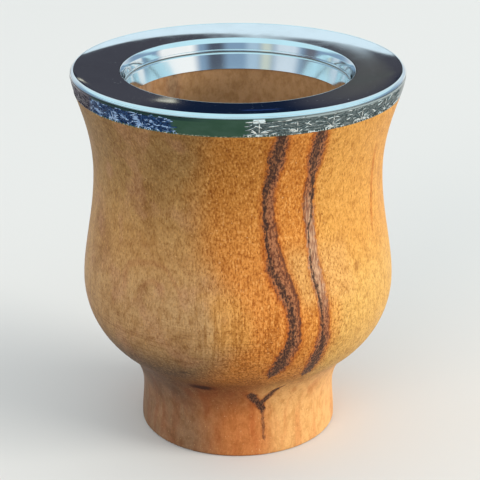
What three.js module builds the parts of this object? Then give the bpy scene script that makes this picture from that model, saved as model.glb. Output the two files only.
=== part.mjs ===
import * as THREE from 'three';

// Mate cup: a turned wooden cup whose mouth wears a ferrule built up from nickel silver sheet and wire.
// Millimetres, +Z up. The origin is on the cup's axis, in the plane that it stands on.

// Overall sizes
const cupHeight = 92.7;
const rimRadius = 40;

// Wooden cup, outside, from the foot up; the belly and the waist are cut in from the rim's radius
const footRadius = 24.6;
const footEdgeBreak = 0.6;
const neckRadius = 24.15;
const neckHeight = 9.6;
const neckFilletRadius = 16.2;
const bellyInset = 1.65;
const bellyHeight = 39.5;
const waistInset = 4.8;
const waistHeight = 67.65;

// Fullness of the free curves: how far each end keeps its upright direction, as a share of the curve's rise
const footFullness = 0.4;
const aboveBellyFullness = 0.275;
const underWaistFullness = 0.385;
const aboveWaistFullness = 0.505;
const underRimFullness = 0.16;

// Underside
const footRingWidth = 4.6;
const recessDepth = 1;
const recessSlopeWidth = 0.5;

// Hollow: a straight bore that ends in a half sphere
const boreSetBack = 0.1;
const floorThickness = 24;

// Ferrule, the wire round its outer edge
const beadWidth = 0.9;
const beadHeight = 1.1;
const beadCrown = 0.15;
const beadCrownWidth = 0.15;
const beadBevelHeight = 0.75;

// Ferrule, the dished brim plate
const brimThickness = 1;
const brimDip = 0.85;
const brimSink = 0.1;

// Ferrule, the rounded lip of the mouth
const mouthRadius = 27.2;
const lipWidth = 0.95;
const lipHeight = 2.75;

// Ferrule, the collar that lines the throat
const collarThickness = 0.8;
const collarHeight = 4.8;
const collarStepBack = 0.1;
const collarNarrowing = 0.9;
const collarConeHeight = 2.8;

// Ferrule, the chased band round the outside
const bandHeight = 4.3;
const bandThickness = 0.8;
const bandProud = 0.1;

// Joints
const solderGap = 0.1;
const glueGap = 0.15;
const shoulderGlueThickness = 0.9;
const throatGlueThickness = 0.9;
const bedGlueThickness = 0.3;
const bedInset = 1.5;

// Fineness of the round shapes
const facetsRound = 64;
const footSteps = 4;
const filletSteps = 7;
const bellySteps = 9;
const shoulderSteps = 6;
const flareSteps = 8;
const bandSteps = 3;
const hollowSteps = 10;
const lipSteps = 6;

// Heights and radii that follow from the sizes above
const bellyRadius = rimRadius - bellyInset;
const waistRadius = rimRadius - waistInset;
const bandTop = cupHeight - beadHeight;
const bandBottom = bandTop - bandHeight;
const beadInnerRadius = rimRadius - beadWidth;
const brimOuterRadius = beadInnerRadius - solderGap;
const brimOuterTop = cupHeight - brimSink;
const brimInnerTop = brimOuterTop - brimDip;
const lipOuterRadius = mouthRadius + lipWidth;
const brimInnerRadius = lipOuterRadius + solderGap;
const collarTop = brimInnerTop - lipHeight;
const collarBottom = collarTop - collarHeight;
const collarInnerRadius = mouthRadius + collarStepBack;
const collarOuterRadius = collarInnerRadius + collarThickness;
const boreRadius = collarInnerRadius - collarNarrowing + boreSetBack;
const counterboreRadius = collarOuterRadius + throatGlueThickness;
const landHeight = brimInnerTop - brimThickness - bedGlueThickness;

function point(radius, height) {
  return new THREE.Vector2(radius, height);
}

// Points of a round stretch after its start, so that stretches can follow each other
function arcPoints(centre, radius, startAngle, endAngle, steps) {
  const clockwise = endAngle < startAngle;
  const arc = new THREE.EllipseCurve(centre.x, centre.y, radius, radius, startAngle, endAngle, clockwise);
  return arc.getPoints(steps).slice(1);
}

// A curve that leaves one point upright and reaches a higher one upright
function uprightCurve(from, to, fullnessFrom, fullnessTo) {
  const rise = to.y - from.y;
  const leave = point(from.x, from.y + rise * fullnessFrom);
  const reach = point(to.x, to.y - rise * fullnessTo);
  return new THREE.CubicBezierCurve(from, leave, reach, to);
}

// Where a rising curve passes a height, found by halving the stretch that it lies in
function shareAtHeight(curve, height) {
  let low = 0;
  let high = 1;
  while (high - low > Number.EPSILON) {
    const middle = (low + high) / 2;
    if (curve.getPoint(middle).y < height) {
      low = middle;
    } else {
      high = middle;
    }
  }
  return high;
}

function curveStretch(curve, startShare, endShare, steps) {
  const points = [];
  for (let step = 0; step <= steps; step += 1) {
    const share = startShare + ((endShare - startShare) * step) / steps;
    points.push(curve.getPoint(share));
  }
  return points;
}

function shifted(points, radialShift) {
  return points.map((place) => point(place.x + radialShift, place.y));
}

function metal(color, roughness) {
  return new THREE.MeshStandardMaterial({ color, roughness, metalness: 1 });
}

function plain(color, roughness) {
  return new THREE.MeshStandardMaterial({ color, roughness, metalness: 0 });
}

// A turned piece: its outline rises on the outside and falls on the inside
function turnedPiece(name, outline, material) {
  const geometry = new THREE.LatheGeometry(outline, facetsRound);
  geometry.rotateX(Math.PI / 2);
  const mesh = new THREE.Mesh(geometry, material);
  mesh.name = name;
  return mesh;
}

function closed(outline) {
  return [...outline, outline[0].clone()];
}

// The flare from the waist to the rim, shared by the wood below and the band above
const rimPoint = point(rimRadius, bandTop);
const waistPoint = point(waistRadius, waistHeight);
const flare = uprightCurve(waistPoint, rimPoint, aboveWaistFullness, underRimFullness);
const bandShare = shareAtHeight(flare, bandBottom);
const bandFace = curveStretch(flare, bandShare, 1, bandSteps);
const bandInside = shifted(bandFace, -bandThickness);
const rebateRadius = bandInside[0].x - shoulderGlueThickness;

function brimUnderside(radius) {
  const share = (radius - brimInnerRadius) / (brimOuterRadius - brimInnerRadius);
  return brimInnerTop + brimDip * share - brimThickness;
}

// The neck's hollow round and the belly's full round meet in one smooth line:
// both end upright, so their radii add up to a length fixed by the neck and the belly
function neckAndBelly() {
  const across = bellyRadius - neckRadius;
  const up = bellyHeight - neckHeight;
  const radiiTogether = (across * across + up * up) / (2 * across);
  const bellyArcRadius = radiiTogether - neckFilletRadius;
  const neckCentre = point(neckRadius + neckFilletRadius, neckHeight);
  const bellyCentre = point(bellyRadius - bellyArcRadius, bellyHeight);
  const meetAngle = Math.atan2(neckCentre.y - bellyCentre.y, neckCentre.x - bellyCentre.x);
  return [
    ...arcPoints(neckCentre, neckFilletRadius, Math.PI, Math.PI + meetAngle, filletSteps),
    ...arcPoints(bellyCentre, bellyArcRadius, meetAngle, 0, bellySteps),
  ];
}

function woodCup() {
  const recessRadius = footRadius - footEdgeBreak - footRingWidth;
  const footEdge = point(footRadius, footEdgeBreak);
  const neckPoint = point(neckRadius, neckHeight);
  const bellyPoint = point(bellyRadius, bellyHeight);
  const footCurve = uprightCurve(footEdge, neckPoint, footFullness, footFullness);
  const shoulderCurve = uprightCurve(bellyPoint, waistPoint, aboveBellyFullness, underWaistFullness);
  const underside = [
    point(0, recessDepth),
    point(recessRadius - recessSlopeWidth, recessDepth),
    point(recessRadius, 0),
    point(footRadius - footEdgeBreak, 0),
  ];
  const outside = [
    ...curveStretch(footCurve, 0, 1, footSteps),
    ...neckAndBelly(),
    ...curveStretch(shoulderCurve, 0, 1, shoulderSteps).slice(1),
    ...curveStretch(flare, 0, bandShare, flareSteps).slice(1, -1),
    point(bandFace[0].x - bandProud, bandBottom),
  ];
  const mouthSeat = [
    point(rebateRadius, bandBottom),
    point(rebateRadius, landHeight),
    point(counterboreRadius, landHeight),
    point(counterboreRadius, collarBottom),
    point(boreRadius, collarBottom),
  ];
  const hollowCentre = point(0, floorThickness + boreRadius);
  const hollow = [
    point(boreRadius, hollowCentre.y),
    ...arcPoints(hollowCentre, boreRadius, 0, -Math.PI / 2, hollowSteps).slice(0, -1),
    point(0, floorThickness),
  ];
  const wood = plain(0xc38a48, 0.5);
  return turnedPiece('wood_cup', [...underside, ...outside, ...mouthSeat, ...hollow], wood);
}

// Stands on the wood's ledge and takes the wire on its top edge
function engravedBand() {
  const outline = [...bandFace, ...[...bandInside].reverse()];
  return turnedPiece('engraved_band', closed(outline), metal(0x8d9794, 0.35));
}

// Stands on the band's top edge and hides the end of the brim plate
function edgeBead() {
  const outline = [
    point(beadInnerRadius, bandTop),
    point(rimRadius, bandTop),
    point(rimRadius, cupHeight - beadBevelHeight),
    point(beadInnerRadius + beadCrownWidth, cupHeight),
    point(beadInnerRadius, cupHeight - beadCrown),
  ];
  return turnedPiece('edge_bead', closed(outline), metal(0xc9d2d3, 0.12));
}

// A flat ring pressed to a shallow dish that falls towards the mouth
function brimPlate() {
  const outline = [
    point(brimInnerRadius, brimUnderside(brimInnerRadius)),
    point(brimOuterRadius, brimUnderside(brimOuterRadius)),
    point(brimOuterRadius, brimOuterTop),
    point(brimInnerRadius, brimInnerTop),
  ];
  return turnedPiece('brim_plate', closed(outline), metal(0xc2c6c8, 0.1));
}

// Its rounding is a quarter of an ellipse, from the brim down into the throat
function mouthLip() {
  const rounding = [];
  for (let step = 0; step < lipSteps; step += 1) {
    const turn = (Math.PI / 2) * (step / lipSteps);
    const radius = lipOuterRadius - lipWidth * Math.sin(turn);
    const height = collarTop + lipHeight * Math.cos(turn);
    rounding.push(point(radius, height));
  }
  const outline = [point(mouthRadius, collarTop), point(lipOuterRadius, collarTop), ...rounding];
  return turnedPiece('mouth_lip', closed(outline), metal(0xc9d2d3, 0.1));
}

// Upright under the lip, then drawn in to a cone that ends at the wood's ledge
function collarInside() {
  return [
    point(collarInnerRadius, collarTop),
    point(collarInnerRadius, collarBottom + collarConeHeight),
    point(collarInnerRadius - collarNarrowing, collarBottom),
  ];
}

function throatCollar() {
  const inside = collarInside();
  const outside = shifted(inside, collarThickness).reverse();
  return turnedPiece('throat_collar', closed([...outside, ...inside]), metal(0xc2c9cc, 0.12));
}

// Fills the space between the brim, the band and the wood's shoulder
function shoulderAdhesive() {
  const bedRadius = counterboreRadius + bedInset;
  const topShare = shareAtHeight(flare, brimUnderside(brimOuterRadius) - glueGap);
  const bandSide = curveStretch(flare, bandShare, topShare, bandSteps);
  const outline = [
    point(rebateRadius + glueGap, bandBottom),
    ...shifted(bandSide, -bandThickness - glueGap),
    point(bedRadius, brimUnderside(bedRadius) - glueGap),
    point(bedRadius, landHeight),
    point(rebateRadius + glueGap, landHeight),
  ];
  return turnedPiece('shoulder_adhesive', closed(outline), plain(0xb9a67e, 0.6));
}

// Fills the space between the collar and the wood's counterbore
function throatAdhesive() {
  const collarSide = shifted(collarInside(), collarThickness + glueGap);
  const outline = [
    collarSide[2],
    point(counterboreRadius - glueGap, collarBottom),
    point(counterboreRadius - glueGap, collarTop),
    collarSide[0],
    collarSide[1],
  ];
  return turnedPiece('throat_adhesive', closed(outline), plain(0xb9a67e, 0.6));
}

const mateCup = new THREE.Group();
mateCup.add(woodCup());
mateCup.add(engravedBand());
mateCup.add(edgeBead());
mateCup.add(brimPlate());
mateCup.add(mouthLip());
mateCup.add(throatCollar());
mateCup.add(shoulderAdhesive());
mateCup.add(throatAdhesive());

export default mateCup;
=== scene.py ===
import random
from math import atan2, cos, dist, hypot, pi, radians, sin
from types import SimpleNamespace

import bmesh
import bpy
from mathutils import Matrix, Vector

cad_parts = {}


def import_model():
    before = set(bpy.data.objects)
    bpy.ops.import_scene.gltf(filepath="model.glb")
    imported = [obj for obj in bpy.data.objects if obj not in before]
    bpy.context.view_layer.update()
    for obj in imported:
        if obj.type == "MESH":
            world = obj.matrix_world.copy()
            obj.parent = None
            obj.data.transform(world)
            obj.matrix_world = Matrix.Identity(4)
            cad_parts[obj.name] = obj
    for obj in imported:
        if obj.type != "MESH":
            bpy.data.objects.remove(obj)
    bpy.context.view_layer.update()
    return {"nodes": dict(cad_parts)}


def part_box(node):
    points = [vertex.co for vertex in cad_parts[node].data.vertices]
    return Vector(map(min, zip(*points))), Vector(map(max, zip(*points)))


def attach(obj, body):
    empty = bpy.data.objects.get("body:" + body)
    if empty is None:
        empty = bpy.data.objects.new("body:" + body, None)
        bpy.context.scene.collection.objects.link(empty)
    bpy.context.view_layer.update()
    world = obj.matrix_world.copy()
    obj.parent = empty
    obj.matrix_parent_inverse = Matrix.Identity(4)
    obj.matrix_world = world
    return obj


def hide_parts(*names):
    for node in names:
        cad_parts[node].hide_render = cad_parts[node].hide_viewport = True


# Mate cup: a turned wooden cup whose mouth wears a ferrule of polished nickel silver with a chased band.
# The frame is in metres; sizes named here are millimetres, and turned into metres as the meshes are made.

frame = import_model()
MM = 0.001


def turned_sizes(node):
    """The bore, outer radius, bottom and top of a turned node, in millimetres."""
    low, high = (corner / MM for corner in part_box(node))
    bore = min(hypot(v.co.x, v.co.y) for v in frame["nodes"][node].data.vertices) / MM
    return bore, high.x, low.z, high.z


# Radii and heights that the frame gives
bead_inner_radius, rim_radius, bead_bottom, cup_height = turned_sizes("edge_bead")
_, _, band_bottom, band_top = turned_sizes("engraved_band")
brim_inner_radius, brim_outer_radius, _, brim_outer_top = turned_sizes("brim_plate")
_, lip_outer_radius, lip_bottom, lip_top = turned_sizes("mouth_lip")
collar_foot_radius, collar_outer_radius, collar_bottom, _ = turned_sizes("throat_collar")
_, _, _, land_height = turned_sizes("wood_cup")

# Wooden cup, outside, from the foot up
foot_radius = 24.6
foot_edge_break = 0.6
foot_ring_width = 4.6
recess_depth = 1.0
recess_slope_width = 0.5
neck_radius = 24.15
neck_height = 9.6
neck_fillet_radius = 16.2
belly_radius = 38.35
belly_height = 39.5
waist_radius = 35.2
waist_height = 67.65
foot_fullness = 0.4
above_belly_fullness = 0.275
under_waist_fullness = 0.385
above_waist_fullness = 0.505
under_rim_fullness = 0.16

# Wooden cup, inside
floor_thickness = 24.0
bore_set_back = 0.1
rebate_radius = 37.35
counterbore_radius = 29.0

# Chased panels on the band: where they stand, and how their grounds are sunk
panels_round = 4
first_panel_start = radians(1.3)
plain_field_width = radians(20.6)
lower_margin = 0.25
upper_margin = 0.45
ground_sink = 0.14
panel_end_slope = 3.2
panel_edge_slope = 0.25

# Strokes in the panels; each sprig leaf has its heading in degrees and its length
panel_seed = 11
first_sprig = 3.77
sprig_spacing = 8.87
sprig_leaves = [(58, 1.7), (33, 2.0), (14, 1.9), (4, 1.2)]
low_stroke_rows = 4
low_bar_half_length = 0.8
low_bar_weight = 2.0
high_bar_half_length = 1.35
high_bar_weight = 2.9
bar_inset = 0.06
stroke_width = 0.3
stroke_flatness = 0.85
stroke_sides = 6
stroke_bedding = 0.02
stroke_height = 0.15
lowest_stroke = 0.05

# Ferrule
band_thickness = 0.8
band_proud = 0.1
bead_edge_break = 0.12
bead_line_depth = 0.05
bead_foot_tilt = radians(70)
brim_thickness = 1.0
brim_even_part = 0.6
brim_steepening = 3.5
lip_edge_drop = 0.06
lip_edge_width = 0.12
lip_roll_depth = 1.0
lip_roll_width = 0.62
lip_slope_foot_radius = 27.4
lip_slope_foot_height = 90.2
lip_foot_radius = 27.13
lip_foot_break = 0.02
lip_rounding = 0.5
collar_thickness = 0.8
collar_cone_height = 2.8
collar_ring_draw = 0.1
collar_ring_break = 0.04
collar_groove_height = 88.35
collar_groove_width = 0.42
collar_groove_depth = 0.12
collar_groove_flat = 0.12
collar_groove_step = 0.03
collar_edge_radius = 26.0
collar_skirt_bow = 0.1
hair = 0.01

# Edges sharper than this many radians stay sharp, and points nearer than this are welded
crease_angle = 0.6
weld_distance = 0.001


# Points of an outline, as (radius, height)

def arc_points(centre, radius, start, end, steps):
    points = []
    for step in range(steps + 1):
        angle = start + (end - start) * step / steps
        points.append((centre[0] + radius * cos(angle), centre[1] + radius * sin(angle)))
    return points


def upright_curve(low, high, fullness_low, fullness_high):
    """A curve that leaves one point upright and reaches a higher one upright."""
    rise = high[1] - low[1]
    hold_low = (low[0], low[1] + rise * fullness_low)
    hold_high = (high[0], high[1] - rise * fullness_high)

    def place(share):
        rest = 1 - share
        weights = (rest ** 3, 3 * rest ** 2 * share, 3 * rest * share ** 2, share ** 3)
        corners = (low, hold_low, hold_high, high)
        return tuple(sum(w * c[axis] for w, c in zip(weights, corners)) for axis in (0, 1))

    return place


def share_at_height(curve, height):
    low, high = 0.0, 1.0
    for _ in range(50):
        middle = (low + high) / 2
        if curve(middle)[1] < height:
            low = middle
        else:
            high = middle
    return high


def stretch(curve, start, end, steps):
    return [curve(start + (end - start) * step / steps) for step in range(steps + 1)]


def softened(outline, radius, steps):
    """The closed outline with each corner rounded off by a small arc-like curve."""
    corners = [Vector(place) for place in outline]
    result = []
    for before, corner, after in zip(corners[-1:] + corners, corners, corners[1:] + corners[:1]):
        start, end = [
            corner + (beside - corner).normalized() * min(radius, (beside - corner).length * 0.45)
            for beside in (before, after)
        ]
        for step in range(steps + 1):
            share = step / steps
            result.append(tuple(start.lerp(corner, share).lerp(corner.lerp(end, share), share)))
    return result


flare = upright_curve(
    (waist_radius, waist_height), (rim_radius, band_top), above_waist_fullness, under_rim_fullness
)
band_share = share_at_height(flare, band_bottom)


# Node trees

class Wire:
    """A node's output, which stands in a sum or product as a number does."""

    def __init__(self, socket):
        self.socket = socket

    def other(self, name):
        """Another output of the same node."""
        return Wire(self.socket.node.outputs[name])

    def __add__(self, value):
        return reckon("ADD", self, value)

    def __sub__(self, value):
        return reckon("SUBTRACT", self, value)

    def __rsub__(self, value):
        return reckon("SUBTRACT", value, self)

    def __mul__(self, value):
        return reckon("MULTIPLY", self, value)

    def __truediv__(self, value):
        return reckon("DIVIDE", self, value)

    def __rtruediv__(self, value):
        return reckon("DIVIDE", value, self)

    def __neg__(self):
        return reckon("MULTIPLY", self, -1)

    def __abs__(self):
        return reckon("ABSOLUTE", self)


def feed(node, feeds):
    """Gives sockets, by name or number, a value or a wire."""
    for name, value in feeds.items():
        socket = node.inputs[name]
        if isinstance(value, Wire):
            node.id_data.links.new(value.socket, socket)
        else:
            socket.default_value = value


def lay(kind, feeds, out=0, tree=None, **settings):
    """Adds a node to the tree, which is that of the first wire fed to it where none is given."""
    tree = tree or next(value.socket.id_data for value in feeds.values() if isinstance(value, Wire))
    node = tree.nodes.new(kind)
    for name, value in settings.items():
        setattr(node, name, value)
    feed(node, feeds)
    return Wire(node.outputs[out])


def hand_over(result, kind):
    """Ends the tree with this result."""
    tree = result.socket.id_data
    feed(tree.nodes.new(kind), {0: result})


def reckon(operation, *values, clamp=False):
    return lay("ShaderNodeMath", dict(enumerate(values)), operation=operation, use_clamp=clamp)


def held(value, low, high):
    """The value, kept between two limits."""
    return reckon("MINIMUM", reckon("MAXIMUM", value, low), high)


def length(across, up):
    return reckon("SQRT", across * across + up * up)


def eased(value, low, high):
    """0 below low, 1 above high, and smooth between; high may be the lower one."""
    feeds = {"Value": value, "From Min": low, "From Max": high}
    return lay("ShaderNodeMapRange", feeds, interpolation_type="SMOOTHSTEP")


def between(value, low, full_low, full_high, high):
    """1 from full_low to full_high, 0 beyond low and high, and smooth at both ends."""
    return eased(value, high, full_high) * eased(value, low, full_low)


def ramp(share, start, end):
    """The number that lies at this share of the way from start to end."""
    return reckon("MULTIPLY_ADD", share, end - start, start)


def wobble(share, swing):
    """A share from 0 to 1 made to run from half the swing below nothing to half of it above."""
    return ramp(share, -swing / 2, swing / 2)


def split(vector):
    parts = lay("ShaderNodeSeparateXYZ", {0: vector})
    return [parts.other(axis) for axis in "XYZ"]


def combined(x=0, y=0, z=0):
    return lay("ShaderNodeCombineXYZ", {"X": x, "Y": y, "Z": z})


def scaled(vector, factor):
    return lay("ShaderNodeVectorMath", {0: vector, "Scale": factor}, operation="SCALE")


def joined(first, second):
    return lay("ShaderNodeVectorMath", {0: first, 1: second}, operation="ADD")


def dot(first, second):
    return lay("ShaderNodeVectorMath", {0: first, 1: second}, out="Value", operation="DOT_PRODUCT")


# Geometry trees

def new_geometry_tree(name, inputs):
    """A tree whose inputs are a geometry and these, given by name and kind."""
    tree = bpy.data.node_groups.new(name, "GeometryNodeTree")
    for label, kind in {"Geometry": "Geometry", **inputs}.items():
        tree.interface.new_socket(label, in_out="INPUT", socket_type="NodeSocket" + kind)
    tree.interface.new_socket("Geometry", in_out="OUTPUT", socket_type="NodeSocketGeometry")
    outputs = tree.nodes.new("NodeGroupInput").outputs
    return tree, {socket.name: Wire(socket) for socket in outputs}


def stored(geometry, name, value):
    """The geometry with a number kept at each of its points."""
    feeds = {0: geometry, "Name": name, "Value": value}
    return lay("GeometryNodeStoreNamedAttribute", feeds, data_type="FLOAT", domain="POINT")


def lathe_tree():
    """Turns an outline, given as vertices at (radius, 0, height), about the upright axis."""
    tree, given = new_geometry_tree("lathe", {
        "Facets Round": "Int",
        "Crease Angle": "Float",
        "Finish": "Material",
    })
    outline = given["Geometry"]
    facets_round = given["Facets Round"]
    point_count = lay("GeometryNodeAttributeDomainSize", {0: outline}, component="MESH")
    columns = facets_round + 1
    grid = lay("GeometryNodeMeshGrid", {"Vertices X": columns, "Vertices Y": point_count})

    # Each column of the grid takes the whole outline, turned a little further
    index = lay("GeometryNodeInputIndex", {}, tree=tree)
    column = reckon("FLOOR", (index + 0.5) / point_count)
    row = index - column * point_count
    outline_place = lay("GeometryNodeInputPosition", {}, tree=tree)
    feeds = {"Geometry": outline, "Value": outline_place, "Index": row}
    sample = lay("GeometryNodeSampleIndex", feeds, data_type="FLOAT_VECTOR", domain="POINT")
    radius, _, height = split(sample)
    turn = column * (2 * pi / facets_round)
    place = combined(radius * reckon("SINE", turn), radius * reckon("COSINE", turn), height)
    shaped = lay("GeometryNodeSetPosition", {"Geometry": grid, "Position": place})
    welded = lay("GeometryNodeMergeByDistance", {"Geometry": shaped, "Distance": weld_distance * MM})

    # Smooth, with sharp creases
    smooth = lay("GeometryNodeSetShadeSmooth", {0: welded, "Shade Smooth": True}, domain="FACE")
    edge_angle = lay("GeometryNodeInputMeshEdgeAngle", {}, tree=tree)
    sharp = reckon("GREATER_THAN", edge_angle, given["Crease Angle"])
    feeds = {0: smooth, "Selection": sharp, "Shade Smooth": False}
    creased = lay("GeometryNodeSetShadeSmooth", feeds, domain="EDGE")
    real = lay("GeometryNodeRealizeInstances", {0: creased})
    finished = lay("GeometryNodeSetMaterial", {0: real, "Material": given["Finish"]})
    hand_over(finished, "NodeGroupOutput")
    return tree


def chasing_tree():
    """Sinks the grounds of the band's panels and lays the strokes on them.

    The strokes come from a curve object that is drawn flat: x runs along the band and y is the
    height above the band's lower edge. Angles are radians, 0 facing the viewer and growing to the right.
    """
    sizes = ["Period", "First Field", "Plain Field", "Wrap Radius", "Sink", "Stroke Width",
             "Panel Bottom", "Panel Top", "Band Bottom"]
    tree, given = new_geometry_tree("chasing", {
        "Strokes": "Object",
        "Repeats": "Int",
        **dict.fromkeys(sizes, "Float"),
        "Ground Finish": "Material",
        "Cut Finish": "Material",
    })
    period = given["Period"]
    plain_field = given["Plain Field"]
    wrap_radius = given["Wrap Radius"]
    panel_bottom = given["Panel Bottom"]
    panel_top = given["Panel Top"]

    def position_parts():
        return split(lay("GeometryNodeInputPosition", {}, tree=tree))

    def outward(angle):
        return combined(reckon("SINE", angle), -reckon("COSINE", angle))

    # The sunk grounds
    x, y, z = position_parts()
    angle = reckon("ARCTAN2", x, -y)
    past_start = reckon("FRACT", (angle - given["First Field"]) / period) * period
    end_slope = panel_end_slope * MM / wrap_radius
    edge_slope = panel_edge_slope * MM
    along_panel = between(past_start, plain_field, plain_field + end_slope, period - end_slope, period)
    up_panel = between(z, panel_bottom, panel_bottom + edge_slope, panel_top - edge_slope, panel_top)
    least_facing = 0.3
    facing = dot(lay("GeometryNodeInputNormal", {}, tree=tree), outward(angle))
    outer = reckon("GREATER_THAN", facing, least_facing)
    in_panel = along_panel * up_panel * outer
    inward = scaled(outward(angle), -(in_panel * given["Sink"]))
    marked = stored(given["Geometry"], "panel", in_panel)
    sunk = lay("GeometryNodeSetPosition", {"Geometry": marked, "Offset": inward})

    # The drawing, repeated from panel to panel
    starts = lay("GeometryNodeMeshLine", {
        "Count": given["Repeats"],
        "Start Location": combined((given["First Field"] + plain_field) * wrap_radius),
        "Offset": combined(period * wrap_radius),
    })
    drawn = lay("GeometryNodeObjectInfo", {"Object": given["Strokes"]}, out="Geometry")
    panels = lay("GeometryNodeInstanceOnPoints", {"Points": starts, "Instance": drawn})
    lines = lay("GeometryNodeRealizeInstances", {0: panels})
    upright = lay("GeometryNodeSetCurveNormal", {0: lines}, mode="Z_UP")
    weighted = stored(upright, "weight", lay("GeometryNodeInputRadius", {}, tree=tree))
    section = lay("GeometryNodeCurvePrimitiveCircle", {
        "Resolution": stroke_sides,
        "Radius": given["Stroke Width"] * 0.5,
    })
    flat_section = lay("GeometryNodeTransform", {0: section, "Scale": (1, stroke_flatness, 1)})
    strokes = lay("GeometryNodeCurveToMesh", {
        "Curve": weighted,
        "Profile Curve": flat_section,
        "Fill Caps": True,
    })

    # Wrapping what is flat round the band: each point goes where a ray towards the axis meets the band
    ray_length = 50 * MM
    x, y, z = position_parts()
    out_from_axis = outward(x / wrap_radius)
    height = reckon("MAXIMUM", y, lowest_stroke * MM) + given["Band Bottom"]
    ray = lay("GeometryNodeRaycast", {
        "Target Geometry": sunk,
        "Source Position": joined(scaled(out_from_axis, ray_length), combined(z=height)),
        "Ray Direction": scaled(out_from_axis, -1),
        "Ray Length": ray_length,
    })
    hit = ray.other("Hit Position")
    room = wrap_radius - dot(hit, out_from_axis)
    lift = reckon("MINIMUM", held(z, -stroke_bedding * MM, stroke_height * MM), room)
    place = joined(hit, scaled(out_from_axis, lift))
    wrapped = lay("GeometryNodeSetPosition", {"Geometry": strokes, "Position": place})
    flagged = stored(wrapped, "cut", 1.0)
    rounded = lay("GeometryNodeSetShadeSmooth", {0: flagged, "Shade Smooth": True})

    both = tree.nodes.new("GeometryNodeJoinGeometry")
    for part in (rounded, sunk):
        feed(both, {0: part})
    real = lay("GeometryNodeRealizeInstances", {0: Wire(both.outputs[0])})
    grounded = lay("GeometryNodeSetMaterial", {0: real, "Material": given["Ground Finish"]})
    cut = lay("GeometryNodeInputNamedAttribute", {"Name": "cut"}, tree=tree, data_type="FLOAT")
    is_cut = reckon("GREATER_THAN", cut, 0.5)
    feeds = {0: grounded, "Selection": is_cut, "Material": given["Cut Finish"]}
    hand_over(lay("GeometryNodeSetMaterial", feeds), "NodeGroupOutput")
    return tree


def new_object(name, data):
    item = bpy.data.objects.new(name, data)
    bpy.context.scene.collection.objects.link(item)
    return item


def grown(name, start_mesh, tree, values):
    """A new object whose mesh is what the tree makes of the start mesh, with no modifier left on it."""
    piece = new_object(name, start_mesh)
    modifier = piece.modifiers.new("growth", "NODES")
    modifier.node_group = tree
    inputs = {item.name: item.identifier for item in tree.interface.items_tree if item.in_out == "INPUT"}
    for label, value in values.items():
        modifier[inputs[label]] = value
    depsgraph = bpy.context.evaluated_depsgraph_get()
    mesh = bpy.data.meshes.new_from_object(piece.evaluated_get(depsgraph))
    piece.modifiers.remove(modifier)
    piece.data = mesh
    mesh.name = name
    return piece


def facing_out(mesh):
    """Welds the mesh, closes small holes and turns its faces outwards."""
    work = bmesh.new()
    work.from_mesh(mesh)
    bmesh.ops.remove_doubles(work, verts=work.verts, dist=0.1 * weld_distance * MM)
    rims = [edge for edge in work.edges if edge.is_boundary]
    bmesh.ops.holes_fill(work, edges=rims, sides=8)
    bmesh.ops.recalc_face_normals(work, faces=work.faces)
    work.to_mesh(mesh)
    work.free()


LATHE = lathe_tree()


def turned(name, outline, finish, facets_round):
    """A piece turned from a closed outline in millimetres."""
    mesh = bpy.data.meshes.new(name + "_outline")
    mesh.from_pydata([(r * MM, 0, h * MM) for r, h in outline + outline[:1]], [], [])
    values = {"Facets Round": facets_round, "Crease Angle": crease_angle, "Finish": finish}
    piece = grown(name, mesh, LATHE, values)
    facing_out(piece.data)
    return piece


# The flat drawing of one panel: x runs along the band from the panel's start, and y up from the band's
# lower edge. A stroke is a list of (x, y, weight).

def leaf(root, heading, reach, bend, weight):
    """A stroke that swells in its middle and bends evenly as it grows."""
    steps = 4
    points = [(root[0], root[1], 0.25 * weight)]
    for step in range(1, steps + 1):
        share = step / steps
        turn = radians(heading + bend * (share - 0.5 / steps))
        x, y, _ = points[-1]
        swell = sin(pi * (0.15 + 0.85 * share)) ** 0.7
        tip = (x + cos(turn) * reach / steps, y + sin(turn) * reach / steps)
        points.append((*tip, max(0.12, swell) * weight))
    return points


def sprig(chance, x, foot, high):
    """A stalk with leaves on both sides."""
    strokes = [leaf((x, foot), 88 + chance.uniform(-6, 6), high - foot - 0.3, 6, 1.15)]
    for side in (-1, 1):
        for heading, reach in sprig_leaves:
            turn = heading + chance.uniform(-8, 8)
            turn = turn if side > 0 else 180 - turn
            root = (x + side * chance.uniform(0.1, 0.5), foot + chance.uniform(0, 0.35))
            leaf_reach = reach * chance.uniform(0.75, 1.2)
            bend = -side * chance.uniform(10, 50)
            strokes.append(leaf(root, turn, leaf_reach, bend, chance.uniform(0.45, 0.95)))
    return strokes


def low_strokes(chance, height, panel_length):
    """A row of long, nearly level strokes."""
    strokes = []
    x = chance.uniform(0.3, 1.0)
    while x < panel_length - 0.9:
        reach = chance.uniform(0.9, 3.4)
        root = (x, height + chance.uniform(-0.18, 0.18))
        heading = chance.uniform(-14, 18)
        bend = chance.uniform(-36, 36)
        weight = chance.uniform(0.3, 0.95)
        strokes.append(leaf(root, heading, min(reach, panel_length - x - 0.2), bend, weight))
        x += reach + chance.uniform(0.5, 2.4)
    return strokes


def edge_ticks(chance, height, panel_length):
    """Short upright strokes along the lower edge."""
    strokes = []
    x = 0.4
    while x < panel_length - 0.4:
        heading = 90 + chance.uniform(-20, 20)
        reach = chance.uniform(0.2, 0.6)
        strokes.append(leaf((x, height), heading, reach, 0, chance.uniform(0.5, 1.1)))
        x += chance.uniform(0.4, 1.3)
    return strokes


def short_bar(height, half_length, weight):
    """A heavy level bar over or under the first sprig."""
    return [(first_sprig + side * half_length, height, weight) for side in (-1, 0, 1)]


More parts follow.
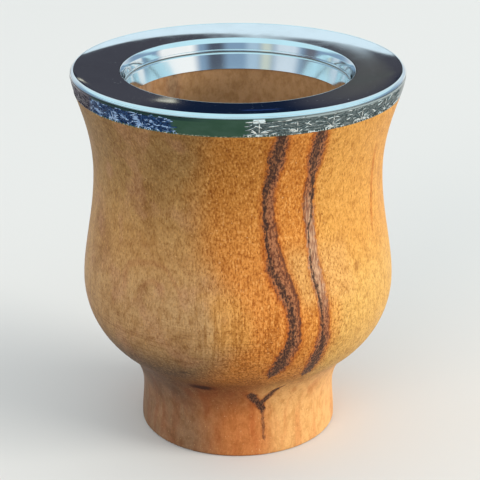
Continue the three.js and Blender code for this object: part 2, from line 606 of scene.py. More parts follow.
def panel_strokes(panel_length, low, high):
    chance = random.Random(panel_seed)
    strokes = []
    sprig_x = first_sprig
    while sprig_x < panel_length - 1:
        strokes += sprig(chance, sprig_x, low + 0.25, high)
        sprig_x += sprig_spacing
    for row in range(low_stroke_rows):
        height = low + 0.35 + (high - low - 0.6) * row / (low_stroke_rows - 1)
        strokes += low_strokes(chance, height, panel_length)
    strokes += edge_ticks(chance, low - 0.12, panel_length)
    strokes.append(short_bar(low + bar_inset, low_bar_half_length, low_bar_weight))
    strokes.append(short_bar(high - bar_inset, high_bar_half_length, high_bar_weight))
    return strokes


def flat_drawing(name, strokes):
    curves = bpy.data.curves.new(name, "CURVE")
    curves.dimensions = "3D"
    for stroke in strokes:
        spline = curves.splines.new("POLY")
        spline.points.add(len(stroke) - 1)
        for point, (x, y, weight) in zip(spline.points, stroke):
            point.co = (x * MM, y * MM, 0, 1)
            point.radius = weight
    return new_object(name, curves)


# Outlines of the turned pieces

def wood_outline():
    across = belly_radius - neck_radius
    up = belly_height - neck_height
    belly_arc_radius = (across ** 2 + up ** 2) / (2 * across) - neck_fillet_radius
    neck_centre = (neck_radius + neck_fillet_radius, neck_height)
    belly_centre = (belly_radius - belly_arc_radius, belly_height)
    meet = atan2(neck_centre[1] - belly_centre[1], neck_centre[0] - belly_centre[0])
    foot, neck = (foot_radius, foot_edge_break), (neck_radius, neck_height)
    belly, waist = (belly_radius, belly_height), (waist_radius, waist_height)
    foot_curve = upright_curve(foot, neck, foot_fullness, foot_fullness)
    shoulder = upright_curve(belly, waist, above_belly_fullness, under_waist_fullness)
    recess_radius = foot_radius - foot_edge_break - foot_ring_width
    edge_centre = (foot_radius - foot_edge_break, foot_edge_break)
    bore_radius = collar_foot_radius + bore_set_back
    hollow_centre = (0.0, floor_thickness + bore_radius)
    underside = [
        (0.0, recess_depth),
        (recess_radius * 0.5, recess_depth),
        (recess_radius - recess_slope_width, recess_depth),
        (recess_radius, 0.0),
    ]
    outside = arc_points(edge_centre, foot_edge_break, -pi / 2, 0, 6)
    outside += stretch(foot_curve, 0, 1, 14)[1:]
    outside += arc_points(neck_centre, neck_fillet_radius, pi, pi + meet, 34)[1:]
    outside += arc_points(belly_centre, belly_arc_radius, meet, 0, 40)[1:]
    outside += stretch(shoulder, 0, 1, 30)[1:]
    outside += stretch(flare, 0, band_share, 26)[1:-1]
    outside += [(flare(band_share)[0] - band_proud, band_bottom)]
    seat = [
        (rebate_radius, band_bottom),
        (rebate_radius, land_height),
        (counterbore_radius, land_height),
        (counterbore_radius, collar_bottom),
        (bore_radius, collar_bottom),
    ]
    bore_drop = hollow_centre[1] - collar_bottom
    bore = stretch(lambda share: (bore_radius, collar_bottom + bore_drop * share), 0, 1, 12)[1:]
    hollow = arc_points(hollow_centre, bore_radius, 0, -pi / 2, 40)[1:-1]
    return underside + outside + seat + bore + hollow + [(0.0, floor_thickness)]


def band_outline():
    face = stretch(flare, band_share, 1, 48)
    inside = [(r - band_thickness, h) for r, h in reversed(face)]
    return face + inside[::4] + [inside[-1]]


def bead_outline():
    """A wire with a rounded slope outside and one fine line turned round it."""
    foot = (rim_radius, bead_bottom + bead_edge_break)
    crown = (bead_inner_radius + bead_edge_break, cup_height)
    chord_tilt = atan2(crown[1] - foot[1], foot[0] - crown[0])
    crown_tilt = 2 * chord_tilt - bead_foot_tilt
    round_radius = dist(foot, crown) / (2 * sin((bead_foot_tilt - crown_tilt) / 2))
    start = pi / 2 - bead_foot_tilt
    centre = (foot[0] - round_radius * cos(start), foot[1] - round_radius * sin(start))
    slope = arc_points(centre, round_radius, start, pi / 2 - crown_tilt, 20)
    line_at = 8
    slope[line_at] = (slope[line_at][0] - bead_line_depth, slope[line_at][1] - bead_line_depth)
    underside = [
        (bead_inner_radius, bead_bottom),
        (rim_radius - bead_edge_break, bead_bottom),
    ]
    return underside + slope + [(bead_inner_radius, cup_height - bead_edge_break)]


def brim_outline():
    """A saucer: it steepens towards its outer edge."""
    def top_place(share):
        radius = brim_inner_radius + (brim_outer_radius - brim_inner_radius) * share
        rise = brim_even_part * share + (1 - brim_even_part) * share ** brim_steepening
        return radius, lip_top + (brim_outer_top - lip_top) * rise

    top = stretch(top_place, 1, 0, 30)
    underside = [(radius, height - brim_thickness) for radius, height in reversed(top[::5])]
    return underside + top


def lip_outline():
    """Rolled over at the top, then a steep slope that ends nearly upright in the throat."""
    corners = [
        (lip_outer_radius, lip_bottom),
        (lip_outer_radius, lip_top - lip_edge_drop),
        (lip_outer_radius - lip_edge_width, lip_top),
        (lip_outer_radius - lip_roll_width, lip_top - lip_roll_depth),
        (lip_slope_foot_radius, lip_slope_foot_height),
        (lip_foot_radius + hair, lip_bottom + 3 * lip_foot_break),
        (lip_foot_radius, lip_bottom + lip_foot_break),
        (lip_foot_radius + 5 * hair, lip_bottom),
    ]
    return softened(corners, lip_rounding, 6)


def collar_outline():
    """A short upright ring, a turned groove, and a skirt that draws in towards the bore."""
    groove_low = collar_groove_height - collar_groove_width / 2
    groove_high = collar_groove_height + collar_groove_width / 2
    ring_radius = lip_foot_radius - collar_ring_draw
    groove_radius = ring_radius + collar_groove_depth
    skirt_radius = ring_radius - collar_groove_step
    inside = [
        (lip_foot_radius + hair, lip_bottom),
        (lip_foot_radius - hair, lip_bottom - collar_ring_break),
        (ring_radius, groove_high),
        (groove_radius, collar_groove_height + collar_groove_flat / 2),
        (groove_radius, collar_groove_height - collar_groove_flat / 2),
        (skirt_radius, groove_low),
    ]

    def skirt(share):
        drawn_in = (1 - collar_skirt_bow) * share + collar_skirt_bow * share ** 2
        radius = skirt_radius - (skirt_radius - collar_edge_radius) * drawn_in
        return radius, groove_low - (groove_low - collar_bottom) * share

    inside += stretch(skirt, 0, 1, 10)[1:]
    bend = collar_bottom + collar_cone_height
    outside = [(collar_foot_radius + collar_thickness, collar_bottom), (collar_outer_radius, bend)]
    return inside + outside + [(collar_outer_radius, lip_bottom)]


# Helpers for the finishes

def new_finish(name):
    finish = bpy.data.materials.new(name)
    finish.use_nodes = True
    tree = finish.node_tree
    tree.nodes.clear()
    shader = tree.nodes.new("ShaderNodeBsdfPrincipled")
    hand_over(Wire(shader.outputs[0]), "ShaderNodeOutputMaterial")
    return finish, shader


def object_place(finish):
    """Object coordinates in millimetres."""
    place = lay("ShaderNodeTexCoord", {}, out="Object", tree=finish.node_tree)
    return scaled(place, 1 / MM)


def noise(place, grain, detail=2, roughness=0.5, seed=0.0):
    """Noise whose grains measure about (x, y, z) millimetres."""
    scale = tuple(1 / size for size in grain)
    shifted = lay("ShaderNodeVectorMath", {0: place, 1: scale, 2: (seed, seed * 1.7, seed * 2.3)},
                  operation="MULTIPLY_ADD")
    feeds = {"Vector": shifted, "Scale": 1, "Detail": detail, "Roughness": roughness}
    return lay("ShaderNodeTexNoise", feeds, out="Fac")


def blend(share, low, high, **settings):
    """A colour between two; each may be a colour or a wire."""
    def colour(value):
        return value if isinstance(value, Wire) else (*value, 1)
    feeds = {0: share, 6: colour(low), 7: colour(high)}
    return lay("ShaderNodeMix", feeds, out=2, data_type="RGBA", **settings)


def darken(colour, share, tint):
    """The colour times a tint, by a share."""
    return blend(share, colour, tint, blend_type="MULTIPLY")


def by_height(height, points):
    """A smooth curve through (height, value) points."""
    curve_reach = 100.0
    values = [value for _, value in points]
    low, high = min(values), max(values)
    node = height.socket.id_data.nodes.new("ShaderNodeFloatCurve")
    curve = node.mapping.curves[0]
    for index, (at, value) in enumerate(points):
        spot = (at / curve_reach, (value - low) / (high - low))
        if index < 2:
            curve.points[index].location = spot
        else:
            curve.points.new(*spot)
    node.mapping.update()
    feed(node, {"Value": height / curve_reach})
    return ramp(Wire(node.outputs[0]), low, high)


def kept_share(finish, name):
    """The number stored under this name at each point of the mesh."""
    return lay("ShaderNodeAttribute", {}, out="Fac", tree=finish.node_tree, attribute_name=name)


def bumped(height, strength, distance):
    return lay("ShaderNodeBump", {"Strength": strength, "Distance": distance * MM, "Height": height})


# The wood's two dark veins, by height: the millimetres across the growth sheets where each runs, its half
# width, and in half widths where its near-black core runs and how wide that is. A fine dark line runs along
# one edge of each.
vein_one = SimpleNamespace(
    path=[
        (0, -8.4), (11, -8.8), (14, -10.1), (18, -13.3), (22, -14.4), (26, -13.3), (33, -11.3), (39, -9.7),
        (43, -10.0), (49, -11.6), (57, -13.9), (65, -14.7), (72, -15.1), (79, -14.2), (85, -14.1), (88, -13),
    ],
    width=[
        (0, 0), (3.5, 0), (5, 0.42), (10, 0.45), (14, 1.1), (17.7, 1.3), (18.9, 0), (24.5, 0), (27, 1.5),
        (31, 2.5), (36, 2.3), (41, 1.8), (48, 2.5), (53, 2.7), (60, 1.9), (66, 1.8), (75, 1.7), (81, 2.2),
        (88, 1.6),
    ],
    core=[
        (0, 0), (22, 0), (30, -0.15), (38, -0.3), (45, -0.15), (52, -0.35), (62, -0.6), (72, -0.5),
        (80, -0.2), (88, 0),
    ],
    core_width=[
        (0, 0.9), (24, 0.9), (32, 0.62), (40, 0.55), (50, 0.36), (60, 0.3), (70, 0.4), (78, 0.75), (88, 0.8),
    ],
    edge_line=0.92,
    seed=23,
)
vein_two = SimpleNamespace(
    path=[
        (0, -8.4), (11, -8.8), (14, -9.9), (16, -8.7), (19, -7.1), (21, -4.5), (25, -2.5), (31, -1.7),
        (36, -0.6), (42, -0.5), (48, -1.3), (54, -2.6), (62, -3.3), (72, -3.9), (78, -3.4), (88, -3.1),
    ],
    width=[
        (0, 0), (12.5, 0), (14, 0.8), (17, 1.0), (20, 0.5), (21.5, 0), (23.5, 0), (25, 1.2), (30, 2.1),
        (35, 2.3), (39, 1.6), (44, 1.6), (51, 1.8), (60, 1.4), (66, 1.5), (72, 1.6), (76, 1.4), (80, 2.3),
        (88, 1.9),
    ],
    core=[
        (0, 0), (26, 0), (34, 0.05), (40, -0.5), (50, -0.5), (60, -0.6), (66, 0.45), (72, 0.6), (76, 0.2),
        (82, -0.1), (88, 0),
    ],
    core_width=[
        (0, 0.9), (26, 0.9), (34, 0.55), (40, 0.25), (48, 0.28), (60, 0.12), (66, 0.28), (72, 0.34),
        (78, 0.62), (88, 0.7),
    ],
    edge_line=-0.88,
    seed=29,
)

# The wood's ground colours
tan = (0.63, 0.35, 0.135)
low_tan = (0.61, 0.372, 0.172)
honey = (0.7, 0.274, 0.06)
amber = (0.61, 0.238, 0.047)
gold = (0.64, 0.315, 0.074)
# Paler gold low on the gold side: partly the wood's tone, partly a painted sheen
low_gold_sheen = (0.66, 0.385, 0.112)

# The growth sheets stand upright and cross the cup at this slant
sheet_slant = 0.63

# Growth arches on the tan side: their middle, and how narrow they are for their height
arch_middle_x = -20
arch_middle_z = 46
arch_narrowness = 0.8

# Where one edge of growth shows high on the right, across the sheets
growth_edge = 21.2

# Small marks on the front: middle, half width, half height, tint and share
wood_marks = [
    (-8.3, 20.2, 4.2, 1.5, (0.75, 0.5, 0.42), 0.7),
    (-8.6, 20.2, 3.0, 1.05, (0.13, 0.08, 0.09), 1),
    (-12.7, 26.8, 1.6, 0.4, (0.35, 0.28, 0.28), 0.8),
    (27.8, 51.0, 0.7, 1.3, (0.62, 0.52, 0.5), 0.7),
]


# Wood

def wood_places(place):
    """Where a point lies in the cup, across the growth sheets and from each vein."""
    at = SimpleNamespace(place=place)
    at.x, at.y, at.z = split(place)
    at.front = eased(at.y, 6, -6)
    at.ragged = noise(place, (1.1, 1.1, 2.2), 3, 0.6, seed=7.7)
    at.sheet = at.x + at.y * sheet_slant + wobble(at.ragged, 1.4)
    at.from_one = at.sheet - by_height(at.z, vein_one.path)
    at.from_two = at.sheet - by_height(at.z, vein_two.path)
    at.toned = at.from_one + wobble(noise(place, (15, 15, 30), 3, 0.55, seed=1.3), 12)
    at.left = eased(at.toned, -12, -24)
    at.smooth_foot = eased(at.z, 24, 17)
    return at


def ground_tones(at):
    """Tan on one side, orange up to the first vein, amber between the veins and gold beyond them; the tan
    side's greyer tone is partly painted shade.
    """
    low_down = eased(at.z, 58, 44)
    ground = blend(eased(at.toned, -22, -10), blend(low_down, tan, low_tan), honey)
    ground = blend(eased(at.toned, 0, 6), ground, amber)
    ground = blend(eased(at.toned, 9, 17), ground, blend(low_down, gold, low_gold_sheen))
    sunlit = between(at.z, 42, 48, 55, 62) * between(at.toned, 0, 6, 18, 26)
    ground = blend(sunlit * 0.85, ground, (0.665, 0.36, 0.118))
    pale = between(at.z, 33, 38, 46, 52) * between(at.toned, -24, -19, -14, -10)
    ground = blend(pale * 0.6, ground, (0.86, 0.43, 0.105))
    # Painted shade: darker high up, left of the first vein
    shaded_upper_front = eased(at.z, 45, 80) * eased(at.toned, 6, -2)
    ground = darken(ground, shaded_upper_front, (0.77, 0.82, 0.76))
    # Painted shade under the flare, on the left side
    ground = darken(ground, eased(at.z, 58, 84) * at.left, (0.84, 0.84, 0.9))
    shaded_neck = eased(at.z, 36, 23) * eased(at.toned, -10, -22)
    ground = darken(ground, shaded_neck, (0.22, 0.2, 0.22))

    # The foot has its own tones; its dark left side is partly painted shade, and the crease above it is
    # darkened as painted shade
    foot_ground = blend(eased(at.toned, -17, -7), (0.3, 0.17, 0.094), (0.56, 0.2, 0.062))
    foot_ground = blend(eased(at.toned, -4, 5), foot_ground, (0.72, 0.385, 0.145))
    foot_crease_shade = eased(at.z, 10, 17) * eased(at.toned, 2, -6)
    foot_ground = darken(foot_ground, foot_crease_shade, (0.7, 0.72, 0.8))
    ground = blend(eased(at.z, 26, 20), ground, foot_ground)

    # Broad patches on the tan side
    brown_patch = eased(noise(at.place, (9, 9, 12), seed=41), 0.5, 0.66)
    ground = darken(ground, brown_patch * at.left, (0.78, 0.72, 0.66))
    pink_patch = eased(noise(at.place, (7, 7, 9), seed=43), 0.5, 0.68)
    return blend(pink_patch * at.left * 0.4, ground, (0.6, 0.32, 0.185))


def growth_lines(at, ground):
    """Arches where a sheet lies nearly flat to the surface, lines that run with the sheets, and fine
    upright ones low on the front."""
    up = at.z - arch_middle_z
    broad = noise(at.place, (11, 11, 16), seed=3.1)
    reach = length((at.x - arch_middle_x) / arch_narrowness, up) + broad * 6
    arches = eased(reckon("SINE", reach * 1.25), 0.2, 1)
    arch_share = arches * eased(reach, 19, 10) * eased(up, -4, 3) * at.front
    ground = darken(ground, arch_share * 0.55, (0.84, 0.7, 0.7))

    line_place = combined(at.from_one, at.y * 0.03, at.z * 0.03)
    lines = noise(line_place, (1.3, 1, 1), 4, 0.65, seed=5.2)
    ground = darken(ground, eased(lines, 0.5, 0.8) * 0.6, (0.74, 0.62, 0.5))

    across = at.x + at.y * 0.25
    fine_lines = noise(combined(across, 0, at.z * 0.07), (0.75, 1, 1), 2, 0.6, seed=6.4)
    low_front = between(at.z, 28, 34, 46, 56) * eased(across, -22, -16) * eased(at.from_one, -1, -4)
    return darken(ground, eased(fine_lines, 0.5, 0.62) * low_front * 0.8, (0.7, 0.6, 0.46))


def tool_rings(at):
    """Rings left by the turning tool, where the belly draws in."""
    rings = noise(combined(at.x * 0.06, 0, at.z), (1, 1, 0.5), 3, 0.6, seed=14)
    ring_zone = between(at.z, 22, 27, 36, 44) * eased(at.from_one, 0, -6)
    return eased(rings, 0.5, 0.64) * ring_zone


def flecked(at, ground, flecks, pores, mottle, strong):
    """Flecks, dashes and pores; the foot is smoother, with reddish streaks."""
    ground = darken(ground, eased(flecks, 0.52, 0.34) * strong, (0.58, 0.44, 0.32))
    ground = blend(eased(flecks, 0.53, 0.7) * strong * 0.5, ground, (0.92, 0.52, 0.18))
    dashes = eased(noise(at.place, (1.3, 1.3, 0.34), 2, 0.6, seed=12), 0.56, 0.7)
    dash_zone = ramp(eased(at.z, 50, 38), 0.3, 1)
    ground = darken(ground, dashes * dash_zone * strong, (0.66, 0.54, 0.44))
    ground = darken(ground, eased(mottle, 0.42, 0.68), (0.84, 0.78, 0.7))
    ground = darken(ground, pores, (0.54, 0.42, 0.34))
    light_specks = eased(noise(at.place, (0.3, 0.3, 0.5), 1, seed=19), 0.7, 0.8)
    ground = blend(light_specks * 0.5, ground, (0.98, 0.72, 0.4))
    streaks = eased(noise(at.place, (2.6, 2.6, 14), 3, seed=21), 0.46, 0.64)
    return darken(ground, streaks * at.smooth_foot * 0.7, (0.88, 0.7, 0.64))


def veined(at, ground, vein, offset, line_zone, pale_zone):
    """A mottled red-brown body, a ragged near-black core wandering in it, and a thin line on one edge."""
    width = by_height(at.z, vein.width)
    there = eased(width, 0.02, 0.25) * ramp(eased(at.z, 11, 13), 0.5, 1)
    turn = offset / reckon("MAXIMUM", width, 0.01)
    streak = noise(at.place, (0.42, 0.42, 0.9), 3, 0.7, seed=vein.seed)
    coarse = noise(at.place, (1.3, 1.3, 3.2), 2, 0.6, seed=vein.seed + 1)
    rough = (wobble(streak, 3) + wobble(coarse, 1.2)) * ramp(at.smooth_foot, 1, 0.4)
    halo = eased(abs(turn) + rough * 0.25, 1.8, 0.7) * there
    ground = darken(ground, halo, (0.76, 0.52, 0.4))

    body = eased(abs(turn) + rough * 0.55, 1.25, 0.6) * there
    body_colour = blend(eased(streak, 0.4, 0.6), (0.085, 0.028, 0.018), (0.38, 0.165, 0.08))
    fibre = noise(at.place, (0.3, 0.3, 3.5), 3, 0.6, seed=vein.seed + 2)
    pale_colour = blend(eased(fibre, 0.38, 0.62), (0.22, 0.105, 0.07), (0.66, 0.43, 0.27))
    ground = blend(body * 0.9, ground, blend(pale_zone, body_colour, pale_colour))

    from_core = abs(turn - by_height(at.z, vein.core)) / by_height(at.z, vein.core_width)
    core = eased(from_core + rough, 1.35, 0.35) * there
    speckled = ramp(eased(streak, 0.6, 0.44), 0.6, 0.95)
    ground = blend(core * speckled, ground, (0.04, 0.02, 0.015))
    line = eased(abs(turn - vein.edge_line), 0.2, 0.06) * there * line_zone
    return blend(line * 0.7, ground, (0.085, 0.03, 0.02))


def marked_front(at, ground):
    """Small marks, and an edge of growth that shows high on the right."""
    for middle_x, middle_z, half_width, half_height, tint, share in wood_marks:
        off = length((at.x - middle_x) / half_width, (at.z - middle_z) / half_height)
        spot = eased(off + wobble(at.ragged, 0.6), 1.25, 0.45) * at.front * share
        ground = darken(ground, spot, tint)
    edge_share = eased(abs(at.sheet - growth_edge), 1, 0.2) * between(at.z, 54, 62, 74, 82)
    return darken(ground, edge_share, (0.86, 0.66, 0.46))


def wood_finish():
    finish, shader = new_finish("oiled_turned_wood")
    at = wood_places(object_place(finish))
    strong = ramp(at.left, 1, 0.6) * ramp(eased(at.toned, 14, 22), 1, 0.65) * ramp(at.smooth_foot, 1, 0.25)
    flecks = noise(at.place, (0.42, 0.42, 0.8), 3, 0.6, seed=11)
    pores = eased(noise(at.place, (0.26, 0.26, 0.8), 1, seed=17), 0.64, 0.74) * strong
    mottle = noise(at.place, (1.8, 1.8, 2.6), 3, 0.6, seed=13)
    rings = tool_rings(at)

    ground = growth_lines(at, ground_tones(at))
    ground = darken(ground, rings * 0.6, (0.68, 0.58, 0.5))
    ground = flecked(at, ground, flecks, pores, mottle, strong)
    ground = veined(at, ground, vein_one, at.from_one, between(at.z, 34, 38, 62, 70), 0)
    pale_zone = between(at.z, 40, 50, 66, 74) * 0.75
    ground = veined(at, ground, vein_two, at.from_two, between(at.z, 60, 66, 74, 77), pale_zone)
    ground = marked_front(at, ground)

    # Inside, the wood is browned by use and darkened further as painted shade
    in_hollow = eased(length(at.x, at.y), counterbore_radius - 0.8, counterbore_radius - 1.8)
    over_floor = eased(at.z, floor_thickness - 1, floor_thickness - 0.2)
    use_stain_and_shade = blend(eased(mottle, 0.35, 0.65), (0.31, 0.178, 0.096), (0.46, 0.285, 0.16))
    ground = blend(in_hollow * over_floor * 0.78, ground, use_stain_and_shade)

    wear = noise(at.place, (6, 6, 9), seed=31)
    relief = flecks * 0.7 - pores - rings * 0.5
    feed(shader, {
        "Base Color": ground,
        "Specular IOR Level": 0.2,
        "Roughness": ramp(wear, 0.42, 0.58) + pores * 0.15,
        "Normal": bumped(relief, 0.5, 0.05),
    })
    return finish


# Metal and adhesive

nickel_silver = (0.86, 0.9, 0.92)


def polished_finish(name, roughness, dull_height=None):
    """Polished metal; a groove or seam at the dull height, if there is one, is tarnished."""
    finish, shader = new_finish(name)
    place = object_place(finish)
    smear = noise(place, (7, 7, 7), 3, seed=2)
    gloss = ramp(eased(smear, 0.5, 0.8), roughness, roughness + 0.05)
    fine_dust = eased(noise(place, (0.35, 0.35, 0.35), 1, seed=33), 0.76, 0.82)
    tint = blend(eased(smear, 0.4, 0.7), nickel_silver, tuple(0.95 * part for part in nickel_silver))
    if dull_height is not None:
        _, _, z = split(place)
        dull = eased(abs(z - dull_height), 0.3, 0.16)
        tint = blend(dull, tint, (0.46, 0.47, 0.47))
        gloss = gloss + dull * 0.25
    feed(shader, {"Base Color": tint, "Metallic": 1, "Roughness": gloss + fine_dust * 0.4})
    return finish


def painted_reflection_side(x):
    """0 on the left of the cup and 1 on the right, for the painted reflections that change round the band.
    """
    return eased(x, -14, 2)


def purplish_left_end(colour, x):
    """The purplish colour at the band's left end."""
    return blend(eased(x, -32.6, -34.2), colour, (0.07, 0.052, 0.074))


def band_ground_finish():
    """Darkened metal: smooth in the plain fields, matted and darker in the panels; the plain fields'
    grey-green is a painted reflection.
    """
    finish, shader = new_finish("darkened_nickel_silver")
    place = object_place(finish)
    x, y, z = split(place)
    below_top = band_top - z
    cloud = noise(place, (5, 5, 2.5), seed=6)
    plain = blend(eased(cloud, 0.35, 0.65), (0.04, 0.088, 0.058), (0.052, 0.104, 0.074))
    # Painted reflection: the plain fields turn greyer on the right
    plain = blend(eased(x, 4, 12), plain, (0.07, 0.1, 0.095))

    # The matted grounds, darkened, in painted reflections: blue with pale blue spots on the left, and slate
    # with painted highlights on brushed lines on the right
    grain = noise(place, (0.45, 0.45, 0.3), 3, 0.6, seed=8)
    blotch = noise(place, (1.9, 1.9, 1.1), 3, 0.6, seed=10)
    blue = blend(eased(grain, 0.4, 0.65), (0.008, 0.018, 0.056), (0.03, 0.086, 0.225))
    blue = blend(eased(blotch, 0.53, 0.61) * 0.9, blue, (0.36, 0.52, 0.78))
    slate = blend(eased(grain, 0.4, 0.65), (0.06, 0.082, 0.084), (0.17, 0.215, 0.215))
    brushed_highlight = noise(place, (2.2, 2.2, 0.22), 3, 0.6, seed=15)
    slate = blend(eased(brushed_highlight, 0.5, 0.66) * eased(x, 2, 18), slate, (0.34, 0.38, 0.38))
    in_panel = eased(kept_share(finish, "panel") - 0.4 + grain * 0.8, 0.2, 0.8)
    colour = blend(in_panel, plain, blend(painted_reflection_side(x), blue, slate))

    # Along the top: a painted highlight strip on the right, a painted shade strip on the left, and a short
    # bright bar; along the lower edge, wear
    highlight_strip = eased(below_top, 0.55, 0.35) * eased(x, 4, 16)
    colour = blend(highlight_strip, colour, (0.42, 0.49, 0.49))
    shaded_strip = eased(below_top, 0.95, 0.55) * eased(x, -4, -14)
    colour = blend(shaded_strip, colour, (0.02, 0.046, 0.044))
    bar_middle = 4.6
    bright_bar = eased(abs(x - bar_middle), high_bar_half_length + 0.05, high_bar_half_length - 0.2)
    bright_bar = bright_bar * eased(below_top, 1, 0.85) * eased(y, 6, -6)
    colour = blend(bright_bar, colour, (0.8, 0.92, 0.95))
    edge_wear = eased(z, band_bottom + 0.35, band_bottom + 0.1) * eased(grain, 0.5, 0.62)
    colour = blend(edge_wear, colour, (0.62, 0.56, 0.42))

    punch = lay("ShaderNodeTexVoronoi", {"Vector": place, "Scale": 2.6})
    feed(shader, {
        "Base Color": purplish_left_end(colour, x),
        "Metallic": 1,
        "Roughness": ramp(in_panel, 0.2, 0.42),
        "Normal": bumped(punch * in_panel, 0.8, 0.12),
    })
    return finish


def cut_finish():
    """Bright cuts on the band in painted reflections, bluish on the left and white on the right, with
    painted glints.
    """
    finish, shader = new_finish("bright_cut_nickel_silver")
    place = object_place(finish)
    x, _, _ = split(place)
    sparkle = noise(place, (1.5, 1.5, 0.9), 3, 0.55, seed=9)
    lit = reckon("MAXIMUM", sparkle, eased(kept_share(finish, "weight"), 1.6, 1.9))
    blue = blend(eased(lit, 0.46, 0.62), (0.03, 0.08, 0.2), (0.5, 0.66, 0.92))
    white = blend(eased(lit, 0.4, 0.6), (0.16, 0.2, 0.2), (0.92, 0.94, 0.9))
    feed(shader, {
        "Base Color": purplish_left_end(blend(painted_reflection_side(x), blue, white), x),
        "Metallic": 1,
        "Roughness": 0.26,
        "Normal": bumped(sparkle, 0.5, 0.05),
    })
    return finish


def adhesive_finish():
    finish, shader = new_finish("set_adhesive")
    cloud = noise(object_place(finish), (3, 3, 3), 3, seed=4)
    feed(shader, {
        "Base Color": blend(cloud, (0.42, 0.34, 0.17), (0.58, 0.48, 0.28)),
        "Roughness": 0.6,
        "Normal": bumped(cloud, 0.4, 0.1),
    })
    return finish


# Camera, floor, world and lamps, in metres

def camera():
    pitch = 22.03
    yaw = -0.078
    data = bpy.data.cameras.new("view")
    data.lens = 121.57
    data.sensor_width = 36.0
    data.clip_start = 0.01
    data.clip_end = 50.0
    eye = new_object("view", data)
    eye.location = (0.0, -0.37384, 0.198782)
    eye.rotation_euler = (radians(90 - pitch), 0.0, radians(yaw))
    bpy.context.scene.camera = eye


def shown_share(tree):
    """1 where the camera, a mirror or glass shows a surface, and 0 where it only lights the rest."""
    seen = lay("ShaderNodeLightPath", {}, out="Is Camera Ray", tree=tree)
    shown = seen + seen.other("Is Glossy Ray")
    return reckon("ADD", shown, seen.other("Is Transmission Ray"), clamp=True)


def floor():
    work = bmesh.new()
    bmesh.ops.create_circle(work, cap_ends=True, radius=4.0, segments=96)
    mesh = bpy.data.meshes.new("floor")
    work.to_mesh(mesh)
    work.free()
    ground = new_object("floor", mesh)
    finish, shader = new_finish("pale_floor")
    feed(shader, {
        "Base Color": blend(shown_share(finish.node_tree), (0.07, 0.07, 0.07), (0.755, 0.741, 0.732)),
        "Roughness": 0.9,
        "Specular IOR Level": 0,
    })
    mesh.materials.append(finish)


# Round the viewer's side: a window, flags and cards, with the middle, half width and softness of each in
# degrees to the right of the viewer, and its colour
studio_cards = [
    (66, 22, 6, (1.0, 1.0, 0.98)),
    (23, 9, 6, (0.09, 0.11, 0.15)),
    (-16, 7, 5, (0.42, 0.57, 0.7)),
    (-30, 6, 5, (0.62, 0.68, 0.6)),
    (-52, 13, 6, (0.68, 0.78, 0.86)),
    (-80, 8, 6, (0.16, 0.17, 0.21)),
]

# Patches on the dark far wall: x, z, half width and half height as shares of a direction, and colour
wall_patches = [
    (0.045, 0.255, 0.012, 0.01, (0.085, 0.09, 0.09)),
    (0.009, 0.149, 0.007, 0.006, (0.03, 0.07, 0.26)),
    (-0.0303, 0.209, 0.0034, 0.007, (0.8, 0.78, 0.64)),
]


def dark_far_wall(x, z):
    """Darkest low in its middle, with a few patches."""
    wall = blend(eased(x, 0.03, 0.055), (0.06, 0.061, 0.077), (0.094, 0.094, 0.094))
    low_middle = eased(z, 0.252, 0.215) * eased(abs(x), 0.036, 0.018)
    wall = blend(low_middle, wall, (0.006, 0.013, 0.035))
    for middle_x, middle_z, half_x, half_z, colour in wall_patches:
        across = eased(abs(x - middle_x), half_x * 1.3, half_x * 0.6)
        up = eased(abs(z - middle_z), half_z * 1.3, half_z * 0.6)
        wall = blend(across * up, wall, colour)
    return wall


def world():
    """A studio that polished metal mirrors: a dark far wall with a bright gap above it, a cyan ceiling, and
    round the viewer's side a blue-grey wall with a bright window, two dark flags and three pale cards."""
    sky = bpy.data.worlds.new("studio")
    bpy.context.scene.world = sky
    sky.use_nodes = True
    tree = sky.node_tree
    tree.nodes.clear()
    x, y, z = split(lay("ShaderNodeTexCoord", {}, out="Generated", tree=tree))

    # The wall round the sides and behind the viewer; azimuth 0 is the viewer's side, and grows to the right
    azimuth = reckon("ARCTAN2", x, -y)
    wall = (0.24, 0.36, 0.5)
    for middle, half_width, soft, colour in studio_cards:
        off = abs(azimuth - radians(middle))
        share = eased(off, radians(half_width + soft), radians(half_width - soft))
        wall = blend(share, wall, colour)
    ceiling = (0.58, 0.88, 0.98)
    side = blend(eased(z, 0.24, 0.38), wall, ceiling)

    # The far side: the dark wall, whose top falls to the right, the gap over it, and light at both ends
    wall_top = 0.35 - held(x, -0.07, 0.007) - held(x - 0.033, 0, 0.04) * 2.2
    gap = blend(eased(z, 0.5, 0.7), (0.73, 0.89, 0.98), ceiling)
    softness = ramp(eased(x, 0.022, 0.034), 0.006, 0.01)
    over_wall = eased((z - wall_top) / softness, -1, 1)
    far_side = blend(over_wall, dark_far_wall(x, z), gap)
    end_light = blend(eased(z, -0.2, 0.3), (0.5, 0.56, 0.66), (0.7, 0.82, 0.88))
    far_side = blend(eased(abs(x), 0.1, 0.2), far_side, end_light)
    far = eased(y, 0, 0.5) * eased(abs(x), 0.8, 0.5)
    colour = blend(far, side, far_side)
    colour = blend(eased(z, -0.01, -0.03), colour, (0.8, 0.8, 0.82))

    # What only lights the cup is calmer than what the metal mirrors
    calm = lay("ShaderNodeHueSaturation", {"Saturation": 0.35, "Value": 0.92, "Color": colour})
    colour = blend(shown_share(tree), calm, colour)
    background = lay("ShaderNodeBackground", {"Color": colour, "Strength": 1})
    hand_over(background, "ShaderNodeOutputWorld")


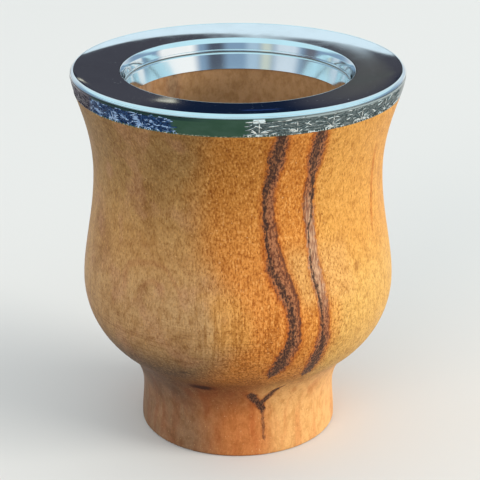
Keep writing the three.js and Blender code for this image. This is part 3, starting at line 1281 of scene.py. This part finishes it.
def lamp(name, azimuth, elevation, power, colour):
    """A round lamp aimed at the cup; azimuth 0 stands on the viewer's side, 90 on the right."""
    distance = 5.0
    data = bpy.data.lights.new(name, "AREA")
    data.shape = "DISK"
    data.size = 3.2
    data.energy = power
    data.color = colour
    turn = radians(azimuth)
    rise = radians(elevation)
    direction = Vector((sin(turn) * cos(rise), -cos(turn) * cos(rise), sin(rise)))
    middle_of_cup = Vector((0, 0, 0.05))
    item = new_object(name, data)
    item.location = middle_of_cup + direction * distance
    item.rotation_euler = direction.to_track_quat("Z", "Y").to_euler()
    item.visible_glossy = False
    item.visible_camera = False


camera()
floor()
world()
lamp("key", 75, 10, 382, (1.0, 0.97, 0.88))
lamp("fill", -30, 18, 88, (1.0, 0.86, 0.74))

# The pieces

wood = wood_finish()
bright_metal = polished_finish("polished_nickel_silver", 0.05)
drawn_metal = polished_finish("drawn_nickel_silver", 0.09, collar_groove_height)
wire_metal = polished_finish("wire_nickel_silver", 0.06, bead_bottom + 0.06)


def chased_band():
    ground = band_ground_finish()
    plain_band = turned("plain_band", band_outline(), ground, 720)
    period = 2 * pi / panels_round
    panel_length = (period - plain_field_width) * rim_radius
    strokes = panel_strokes(panel_length, lower_margin, band_top - band_bottom - upper_margin)
    drawing = flat_drawing("panel", strokes)
    values = {
        "Strokes": drawing,
        "Period": period,
        "First Field": first_panel_start - plain_field_width,
        "Plain Field": plain_field_width,
        "Repeats": panels_round,
        "Wrap Radius": rim_radius * MM,
        "Panel Bottom": (band_bottom + lower_margin) * MM,
        "Panel Top": (band_top - upper_margin) * MM,
        "Band Bottom": band_bottom * MM,
        "Sink": ground_sink * MM,
        "Stroke Width": stroke_width * MM,
        "Ground Finish": ground,
        "Cut Finish": cut_finish(),
    }
    band = grown("chased_band", plain_band.data, chasing_tree(), values)
    bpy.data.objects.remove(plain_band)
    bpy.data.objects.remove(drawing)
    facing_out(band.data)
    return band


def place_piece(piece, node):
    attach(piece, "root")
    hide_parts(node)


place_piece(turned("turned_cup", wood_outline(), wood, 320), "wood_cup")
place_piece(chased_band(), "engraved_band")
place_piece(turned("rim_bead", bead_outline(), wire_metal, 384), "edge_bead")
place_piece(turned("dished_brim", brim_outline(), bright_metal, 384), "brim_plate")
place_piece(turned("rolled_lip", lip_outline(), bright_metal, 320), "mouth_lip")
place_piece(turned("drawn_collar", collar_outline(), drawn_metal, 320), "throat_collar")

glue = adhesive_finish()
for node in ("shoulder_adhesive", "throat_adhesive"):
    mesh = frame["nodes"][node].data
    mesh.materials.clear()
    mesh.materials.append(glue)

bpy.context.scene.view_settings.view_transform = "Standard"
